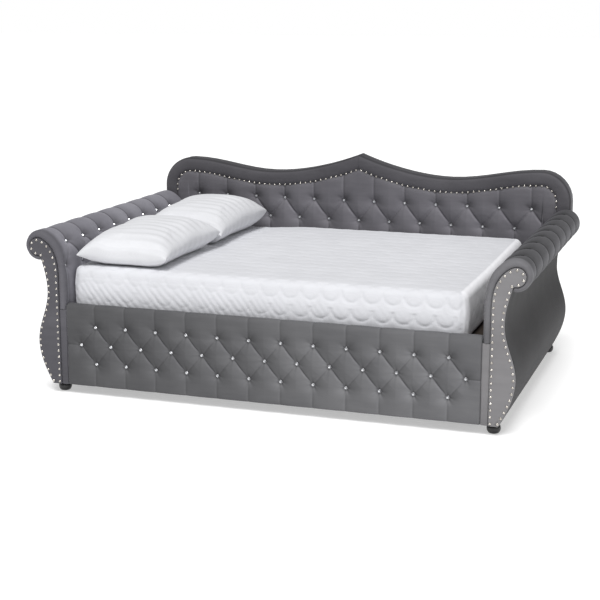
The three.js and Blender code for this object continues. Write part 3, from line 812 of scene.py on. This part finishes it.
def inset_half(line, inset):
    """A half outline moved inwards, without what would pass over the middle."""
    dense = evenly(line, 4.0)
    moved = dense + right_of(dense) * inset
    moved = moved[moved[:, 0] > 0]
    slope = (moved[1, 1] - moved[0, 1]) / (moved[1, 0] - moved[0, 0])
    start = np.array([[0.0, moved[0, 1] - slope * moved[0, 0]]])
    return joined(start, moved)


def both_halves(half):
    """A half outline with its mirror image, from the left foot over the crown to the right foot."""
    return joined(np.column_stack([-half[::-1, 0], half[::-1, 1]]), half)


field_pitch = 178.9
field_rows = (804.3, 692.9)
field_deep = 25.0
field_base_y = field_low[1] + 25


def build_field():
    """The buttoned field: columns from its base up to the nail line, standing out from the board by
    what the buttoning leaves, and dipping into the valley along the nail line."""
    edge = inset_half(back_line(), border_width)
    crown = inset_half(crown_line(), border_width - 14)
    reach = crown[:, 0].max()
    x = np.linspace(-reach + 0.5, reach - 0.5, 560)
    rising = crown[: np.argmax(crown[:, 0]) + 1]
    top = np.interp(np.abs(x), rising[:, 0], rising[:, 1])
    side = edge[np.argmax(edge[:, 0]):]
    low_edge = np.interp(-np.abs(x), -side[:, 0], side[:, 1])
    bottom = np.where(np.abs(x) < side[-1, 0], field_low[2], low_edge)
    bottom = np.minimum(bottom, top - 1)
    share = np.linspace(0, 1, 132)
    z = bottom[:, None] + (top - bottom)[:, None] * share
    s = np.repeat(x[:, None], len(share), 1)
    first = [((k - 5.5) * field_pitch, field_rows[0]) for k in range(12)]
    second = [((k - 6) * field_pitch, field_rows[1]) for k in range(1, 12)]
    pleats = []
    for bx, bz in first:
        pleats.append((bx, bz, bx, bz + 400, 0.6))
        for way in (-1, 1):
            pleats.append((bx, bz, bx + way * field_pitch / 2, field_rows[1], 1.0))
    for bx, bz in second:
        pleats.append((bx, bz, bx, 300, 0.85))
    sink, fold, pit = buttoned(s, z, first + second, pleats, field_deep, 4.5, 40.0)
    # Painted light and shade from the slope.
    lay = slope_shading(s, z, sink, (0.8, 0.45), 1.0)
    line = both_halves(edge)
    stops = line[np.append(np.arange(0, len(line) - 1, 3), len(line) - 1)]
    valley = nearest(s, z, np.hstack([stops[:-1], stops[1:]]))
    sink = sink + 0.9 * ripple(s, z, 150, 5)
    y = field_base_y - (field_deep - sink)
    y = np.minimum(y + 11 * np.exp(-valley / 11), field_base_y + 4)
    shell = np.empty((len(x), len(share) + 2, 3))
    shell[:, :-2, 0], shell[:, :-2, 1], shell[:, :-2, 2] = s, y, z
    shell[:, -2] = np.column_stack([x, np.full(len(x), field_high[1]), top])
    shell[:, -1] = np.column_stack([x, np.full(len(x), field_high[1]), bottom])
    # Painted shade along the valley by the nail line.
    pit = np.maximum(pit, 0.5 * np.exp(-valley / 8))
    build("back_buttoned_field", [part(shell, closed_v=True, cap=True, fold=fold, pit=pit, lay=lay)],
          back_velvet, ["back_field_pad"])
    spots = first + second
    buttons("back_buttons", [(bx, field_base_y - 1.5, bz) for bx, bz in spots],
            [(0, -1, 0)] * len(spots))


def build_border():
    """The padded border: a section from the nail line's valley out over a full crown, round the
    edge and back to the rear cover, carried along the outline."""
    half = evenly(back_line(), 5.0)
    line = both_halves(half)
    inward = right_of(line)
    middle = len(half) - 1
    inward[middle] = (0, -1)
    valley_y = field_low[1] + 12
    crown = np.array([(86, 6), (80, 1), (77, -2), (72, -7), (64, -10.5), (52, -12.5), (40, -13),
                      (28, -12.5), (18, -10.5), (10, -7), (4.5, -1), (1.2, 6), (0.3, 16), (0.2, 40),
                      (0.2, 66)]) + (0, valley_y)
    behind = np.array([(0.3, 67), (1.6, 67.3), (1.7, 1.0), (86, -0.2)]) + (0, border_high[1])
    section = np.concatenate([crown, behind])
    run = lengths(line)
    s, w = np.meshgrid(run, section[:, 0], indexing="ij")
    across = np.clip(w / border_width, 0, 1)
    swell = np.sin(across * np.pi) * ripple(s, w, 170, 13) * 1.1
    shell = np.empty((len(line), len(section), 3))
    shell[..., 0] = line[:, 0:1] + inward[:, 0:1] * section[:, 0]
    shell[..., 2] = line[:, 1:2] + inward[:, 1:2] * section[:, 0]
    shell[..., 1] = section[:, 1] + np.where(section[:, 1] < border_high[1], swell, 0)
    left = np.arange(len(line)) <= middle
    x = shell[..., 0]
    shell[..., 0] = np.where(left[:, None], np.minimum(x, 0), np.maximum(x, 0))
    shell[..., 2] = np.clip(shell[..., 2], floor_gap, None)
    # Painted shade: the whole border painted darker, most past its front crown, and darker along the
    # valley by the nail line.
    lay = np.where(np.arange(len(section)) < 10, 0.31, 0.17) + 0 * s
    roll = part(shell, closed_v=True, cap=True, pit=np.full((len(line), 3), 0.5), lay=lay)
    build("back_border_roll", [roll], back_velvet, ["back_border_pad"])
    nail_half = inset_half(crown_line(), border_width)
    nail_low = span("back_nail_trim")[0][2]
    whole = both_halves(nail_half[nail_half[:, 1] >= nail_low])
    nails("back_nails", whole, nail_radius, valley_y - 3.5, 1, "back_nail_trim")


# Feet.

def build_foot(place, label):
    """A turned bun foot: a profile of radius and height, turned round its own upright axis."""
    low, high = span(f"{label}_{place}_foot")
    centre = (low + high) / 2
    r, h = (high[0] - low[0]) / 2, high[2] - low[2]
    profile = np.array([(0, 0), (0.62, 0), (0.7, 0.02), (0.78, 0.07), (0.88, 0.17), (0.96, 0.3),
                        (1.0, 0.44), (1.0, 0.56), (0.96, 0.68), (0.9, 0.76), (0.84, 0.81),
                        (0.82, 0.84), (0.86, 0.88), (0.86, 1.0), (0, 1.0)])
    shape = revolved(profile * (r, h), 40)
    shape = shape + np.array([centre[0], centre[1], low[2]])
    build(f"{label}_{place}_bun_foot", [part(shape, closed_v=True)], foot_lacquer,
          [f"{label}_{place}_foot"])


# Mattress.

def quilting(s, t, arch):
    """Depth of scallop quilting: rows of half circles, every second row half a scallop along. A
    stitch sinks as exp(-distance/3.2), and the cloth between swells by a broad part. arch is how
    tall the half circles are, as a share of the row."""
    pitch, row = 100.0, 84.0
    depth = np.zeros(s.shape)
    level = np.floor(t / row)
    for step in (0, 1):
        k = level + step
        shift = np.where(np.mod(k, 2) == 0, 0.0, pitch / 2)
        ds = np.mod(s - shift + pitch / 2, pitch) - pitch / 2
        dt = t - k * row
        round_arch = np.hypot(ds / (pitch / 2), np.minimum(dt, 0) / (row * arch))
        away = np.abs(round_arch - 1) * 42
        away = np.where(dt <= 2, away, 1e3)
        depth = np.maximum(depth, np.exp(-away / 3.2) + 0.55 * np.exp(-((away / 15) ** 1.5)))
    return depth


def build_mattress():
    """The mattress: rings round a rectangle with rounded corners, from under the base up the side,
    over a rounded edge and in across the top to its middle line, with the quilting sunk into it.
    Drags lean across the low front and fade to the right. The sides belly out by a half wave of a
    sine, the top rises by up to 13 towards the rear right, and the right end is painted lighter as
    painted light."""
    low, high = mattress_low, mattress_high
    centre = (low + high) / 2
    centre[0] -= 7
    a, b = (high[0] - low[0]) / 2 + 5, (high[1] - low[1]) / 2 - 2
    corner, rim = 46.0, 34.0
    top = high[2] - 3
    per_x, per_y, per_corner = 250, 176, 12
    cx, cy = a - corner, b - corner
    quarter = np.linspace(0, np.pi / 2, per_corner)
    loop, ways = [], []
    runs = [((-cx, -cy), (cx, -cy), per_x), ((cx, -cy), (cx, cy), per_y),
            ((cx, cy), (-cx, cy), per_x), ((-cx, cy), (-cx, -cy), per_y)]
    for k, (p, q, count) in enumerate(runs):
        share = np.linspace(0, 1, count, endpoint=False)[1:, None]
        side = np.array(p) + (np.array(q) - np.array(p)) * share
        way = np.array([(0, -1), (1, 0), (0, 1), (-1, 0)][k], float)
        loop += [side, np.tile(q, (per_corner, 1))]
        turn = quarter + (k - 1) * np.pi / 2
        ways += [np.tile(way, (len(side), 1)), np.stack([np.cos(turn), np.sin(turn)], -1)]
    core, way = np.concatenate(loop), np.concatenate(ways)
    side_z = np.linspace(low[2] + rim, top - rim, 34)
    turn = np.linspace(0, np.pi / 2, 9)[1:]
    inset = np.concatenate([[b, b / 2, rim], rim * (1 - np.sin(turn)), np.zeros(33),
                            rim * (1 - np.cos(turn)), np.linspace(rim, b, 78)[1:]])
    level = np.concatenate([[low[2]] * 3, low[2] + rim * (1 - np.cos(turn)), side_z[1:],
                            top - rim * (1 - np.sin(turn)), np.full(77, top)])
    x = core[:, 0] + way[:, 0] * np.clip(corner - inset[:, None], 0, None)
    y = core[:, 1] + way[:, 1] * np.clip(corner - inset[:, None], 0, None)
    x = np.clip(x, -(a - inset)[:, None], (a - inset)[:, None])
    y = np.clip(y, -(b - inset)[:, None], (b - inset)[:, None])
    z = np.repeat(level[:, None], len(core), 1)
    drop = top - z
    s, t = x + way[:, 0] * drop * 0.98, y + way[:, 1] * drop * 0.98
    arch = np.where((inset > rim)[:, None] & (z > centre[2]), 0.4, 0.62)
    sink = np.where(arch < 0.5, 2.6, 4.0) * quilting(s, t, arch)
    upright = np.clip((level - low[2]) / 60, 0, 1)[:, None]
    sink = sink * upright * (level > low[2] + 1)[:, None]
    sink = sink * (1 - 0.75 * np.clip(way[:, 0], 0, 1) * (inset < rim)[:, None])
    phase = (x + 0.8 * (z - low[2]) + 18 * np.sin(x / 170) + 6 * np.sin(x / 47)) * np.pi / 38
    uneven = 0.62 + 0.5 * ripple(x, z, 160, 23)
    lean = (1.2 * np.exp(-np.abs(np.sin(phase)) / 0.16) + 0.3 * np.cos(2 * phase)) * uneven
    low_side = np.clip((590 - z) / 60, 0, 1) * np.clip((z - low[2]) / 30, 0, 1)
    on_left = np.clip((420 - x) / 600, 0, 1)
    front = way[:, 1] < -0.5
    sink = sink * np.where(front & (z < centre[2] + 60), 1 - 0.55 * on_left, 1.0)
    sink = sink + 4.2 * lean * low_side * (0.22 + 0.78 * on_left) * front
    sink = sink + 1.8 * ripple(x, y, 420, 17) * np.clip(inset / 60, 0, 1)[:, None]
    piping = np.exp(-((np.abs(np.abs(way[:, 0]) - np.abs(way[:, 1])) / 0.12) ** 2))
    piping = piping * (np.abs(way[:, 0]) > 0.3) * (np.abs(way[:, 1]) > 0.3)
    belly_out = np.sin(np.clip((level - low[2]) / (top - low[2]), 0, 1) * np.pi)[:, None]
    sink = sink - 9.0 * belly_out * (inset < rim)[:, None]
    by_edge = np.clip(1 - inset / 24, 0, 1)[:, None] * (level > low[2] + 2)[:, None]
    sink = sink - 3.0 * piping * by_edge
    tilt = np.clip(inset / rim, 0, 1)[:, None]
    on_top = (level > centre[2])[:, None]
    up = np.where(on_top, np.sqrt(np.clip(1 - (1 - tilt) ** 2, 0, 1)), 0)
    out = np.sqrt(np.clip(1 - up**2, 0, 1)) * (level > low[2] + 1)[:, None]
    crowned = 13 * np.clip((x + 470) / 220, 0, 1) * np.clip((y + 150) / 750, 0, 1)
    shell = np.stack([centre[0] + x - way[:, 0] * sink * out, centre[1] + y - way[:, 1] * sink * out,
                      z - sink * up + crowned * on_top * up], -1)
    # Painted light: the right end face lighter.
    lay = 0.5 + 0.5 * np.clip((way[:, 0] - 0.5) * 2, 0, 1) * np.clip((rim - inset) / 10, 0, 1)[:, None]
    build("mattress_quilted", [part(shell, closed_v=True, lay=lay)], sheet_cotton,
          ["mattress"], body="mattress")


# Pillows.

seam_height, stripe_pitch = 73.0, 66.0


def border_of(shape):
    """True on the outermost points of a grid."""
    rim = np.ones(shape, bool)
    rim[1:-1, 1:-1] = False
    return rim


def cloth_filled(points_top, points_bottom, limit, freedom):
    """Two sheets joined round their edge and blown out by cloth simulation. No point moves further
    than the limit, times its freedom between 0 and 1. Returns the two sheets' points."""
    m, n = points_top.shape[:2]
    parts = [part(points_top), part(points_bottom)]
    mesh = bpy.data.meshes.new("stuffing")
    faces = parts[0]["faces"] + [[i + m * n for i in f[::-1]] for f in parts[1]["faces"]]
    both = np.concatenate([parts[0]["co"], parts[1]["co"]])
    rim = border_of((m, n)).reshape(-1)
    link = np.arange(2 * m * n)
    link[m * n:][rim] = np.arange(m * n)[rim]
    used, place = np.unique(link, return_inverse=True)
    faces = [[int(place[i]) for i in f] for f in faces]
    mesh.from_pydata((both[used] * MM).tolist(), [], faces)
    blown = put("stuffing", mesh)
    cloth = blown.modifiers.new("cloth", "CLOTH").settings
    for key, value in (("quality", 6), ("mass", 0.25), ("tension_stiffness", 25),
                       ("compression_stiffness", 25), ("shear_stiffness", 8),
                       ("bending_stiffness", 0.3), ("use_pressure", True),
                       ("uniform_pressure_force", 4)):
        setattr(cloth, key, value)
    cloth.effector_weights.gravity = 0
    for step in range(1, 21):
        bpy.context.scene.frame_set(step)
    shaped = blown.evaluated_get(bpy.context.evaluated_depsgraph_get())
    moved = np.empty(len(used) * 3)
    shaped.data.vertices.foreach_get("co", moved)
    moved = moved.reshape(-1, 3) / MM
    shift = moved - both[used]
    far = np.linalg.norm(shift, axis=1)[:, None]
    free = np.tile(freedom.reshape(-1), 2)[used][:, None]
    moved = both[used] + shift * np.minimum(1, limit / np.maximum(far, 1e-6)) * free
    bpy.data.objects.remove(blown)
    bpy.context.scene.frame_set(1)
    full = moved[place]
    return full[: m * n].reshape(m, n, 3), full[m * n:].reshape(m, n, 3)


def pillow_sheets(width, length, height, tilt):
    """Two facing sheets of a pillow, heights above the mattress. The seam runs at seam_height,
    lower at the corners and rising by the tilt towards the rear. The upper sheet stands above it by
    ((1-u^2.6)(1-v^3))^0.5. The lower one falls steeply from it to the mattress."""
    u = np.sin(np.linspace(-1, 1, 64) * np.pi / 2)
    v = np.sin(np.linspace(-1, 1, 90) * np.pi / 2)
    u, v = np.meshgrid(u, v, indexing="ij")
    x = width / 2 * u * (1 - 0.075 * (1 - v**2) * np.abs(u) ** 3)
    y = length / 2 * v * (1 - 0.06 * (1 - u**2) * np.abs(v) ** 3)
    near_front = np.clip(-v, 0, 1) ** 6
    seam = seam_height - 21 * np.abs(u * v) ** 5 + tilt * (v + 1) / 2
    seam = seam + 16 * np.exp(-(((u + 0.68) / 0.24) ** 2)) * near_front
    seam = seam + 4 * np.sin(7 * v + 1) * np.clip(u, 0, 1) ** 6 + 3 * np.sin(8 * u) * near_front
    crown = np.sqrt(np.clip((1 - np.abs(u) ** 2.6) * (1 - np.abs(v) ** 3), 0, 1))
    base = np.clip(1 - u**4, 0, 1) ** 0.45 * np.clip(1 - v**10, 0, 1) ** 0.3
    top = np.stack([x, y, seam + crown * (height - seam_height)], -1)
    return u, v, top, np.stack([x, y, seam * (1 - base)], -1)


def build_pillow(name, node_name, height, tilt, seed):
    """A stuffed pillow: two sheets blown out a little, rippled along the stripes and by the seam,
    then settled: near the mattress a height bends up to soft times log(1 + exp(height / soft))."""
    low, high = span(node_name)
    centre = (low + high) / 2 - np.array([4, 0, 0])
    width, length = high[0] - low[0] + 4, high[1] - low[1]
    u, v, top, bottom = pillow_sheets(width, length, height, tilt)
    inner = np.clip((1 - u**8) * (1 - v**8), 0, 1)
    top, bottom = cloth_filled(top, bottom, 9.0, inner)
    across, up = u * width / 2, v * length / 2
    stripes = np.sin((up + 10 * np.sin(u * 2 + seed)) * 2 * np.pi / stripe_pitch)
    puckers = np.sin(across * 2 * np.pi / 41 + seed) * np.exp(-(1 - np.abs(v)) * 8)
    gathers = np.sin(up * 2 * np.pi / 33 + 2 * seed) * np.exp(-(1 - np.abs(u)) * 8)
    rough = (1.8 * stripes * np.clip(u + 1.0, 0.2, 1.6) + 2.2 * (puckers + gathers)
             + 3.5 * ripple(across, up, 190, seed)) * inner
    sheets, soft = [], 3.0
    for sheet, sense in ((top, 1), (bottom, 0.5)):
        z = (sheet[..., 2] + sense * rough) / soft
        z = low[2] + 0.8 + soft * np.where(z > 20, z, np.log1p(np.exp(np.clip(z, -30, 20))))
        sheets.append(np.stack([centre[0] + sheet[..., 0], centre[1] + sheet[..., 1], z], -1))
    rim, edge = border_of(u.shape), (sheets[0] + sheets[1]) / 2
    for sheet in sheets:
        sheet[rim] = edge[rim]
    piece = build(name, [part(sheets[0]), part(sheets[1])], pillow_cotton,
                  [node_name], body=node_name)
    smooth = piece.modifiers.new("smooth", "SUBSURF")
    smooth.levels = smooth.render_levels = 1


# Finishes of the CAD nodes that stay in view.

def finish_frame():
    """Gives each kept CAD node its finish, with the grain along its length."""
    for name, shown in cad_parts.items():
        if shown.hide_render:
            continue
        low, high = span(name)
        size = high - low
        if "bracket" in name:
            chosen = bracket_metal
        # The front rail board, the two ledgers and the back's lower panel, timber pieces, are shown in
        # the dark lining cloth.
        elif name in ("back_rear_cover", "front_rail_board", "ledger_front", "ledger_rear",
                      "back_lower_panel"):
            chosen = rear_lining
        else:
            chosen = (dark_timber_x, dark_timber_y, dark_timber_z)[int(np.argmax(size))]
        if shown.material_slots:
            shown.material_slots[0].material = chosen
        else:
            shown.data.materials.append(chosen)


# Studio.

def facing(way):
    """The turn that points a light along a direction."""
    return way.to_track_quat("-Z", "Y").to_euler()


def area_light(name, place, aim, side, power):
    """A square soft light at a place, facing another point."""
    light = bpy.data.lights.new(name, "AREA")
    light.size = side
    light.energy = power
    lamp = put(name, light)
    lamp.location = place
    lamp.rotation_euler = facing(Vector(aim) - Vector(place))


def build_studio():
    """A pale floor that fades into a white room, a soft sun, two weak fill lights and the camera."""
    made, tree, shader = material("studio_floor")
    feed(tree, shader, Base_Color=ramp(tree, noise(tree, 0.8, 2), [(0.3, 0.72), (0.7, 0.75)]),
         Roughness=0.9, Specular_IOR_Level=0.1, Emission_Color=(1, 1, 1, 1), Emission_Strength=0.42)
    mesh = bpy.data.meshes.new("studio_floor")
    reach = 60.0
    corners = [(-reach, -reach, 0), (reach, -reach, 0), (reach, reach, 0), (-reach, reach, 0)]
    mesh.from_pydata(corners, [], [(0, 1, 2, 3)])
    mesh.materials.append(made)
    floor = put("studio_floor", mesh)
    world = bpy.data.worlds.new("studio_room")
    world.use_nodes = True
    room = world.node_tree
    backdrop = room.nodes["Background"]
    backdrop.inputs["Color"].default_value = (1, 1, 1, 1)
    seen = node(room, "ShaderNodeLightPath").outputs["Is Camera Ray"]
    level = node(room, "ShaderNodeMapRange", {"Value": seen}, To_Min=0.42, To_Max=1.0)
    room.links.new(level.outputs["Result"], backdrop.inputs["Strength"])
    bpy.context.scene.world = world
    sun = bpy.data.lights.new("key", "SUN")
    sun.energy = 2.3
    sun.angle = np.radians(24)
    put("key", sun).rotation_euler = facing(Vector((-0.08, 0.46, -0.88)))
    area_light("front_fill", (0.6, -7.2, 2.0), (0, 0, 0.5), 2.2, 15)
    area_light("right_fill", (5.2, -3.2, 2.6), (0.6, 0, 0.6), 2.0, 25)
    camera = bpy.data.cameras.new("camera")
    camera.lens = 82.4
    camera.sensor_width = 36.0
    view = put("camera", camera)
    view.location = (2.1997, -6.7078, 1.9391)
    view.rotation_euler = (np.radians(77.563), 0, np.radians(18.915))
    bpy.context.scene.camera = view
    bpy.context.scene.view_settings.view_transform = "Standard"


build_rail()
for sign, label, pad_cloth, facing_cloth in ((-1, "left", left_arm_lit_velvet, left_facing_shaded_velvet),
                                             (1, "right", right_arm_shaded_velvet, right_facing_lit_velvet)):
    build_arm_pad(sign, label, pad_cloth)
    build_arm_cover(sign, label)
    build_facing(sign, label, facing_cloth)
    build_inner_base(sign, label, facing_cloth)
    build_foot("front", label)
    build_foot("rear", label)
build_field()
build_border()
build_mattress()
build_pillow("pillow_front_stuffed", "pillow_front", 158.0, 27.0, 3)
build_pillow("pillow_rear_stuffed", "pillow_rear", 168.0, 38.0, 8)
finish_frame()
build_studio()
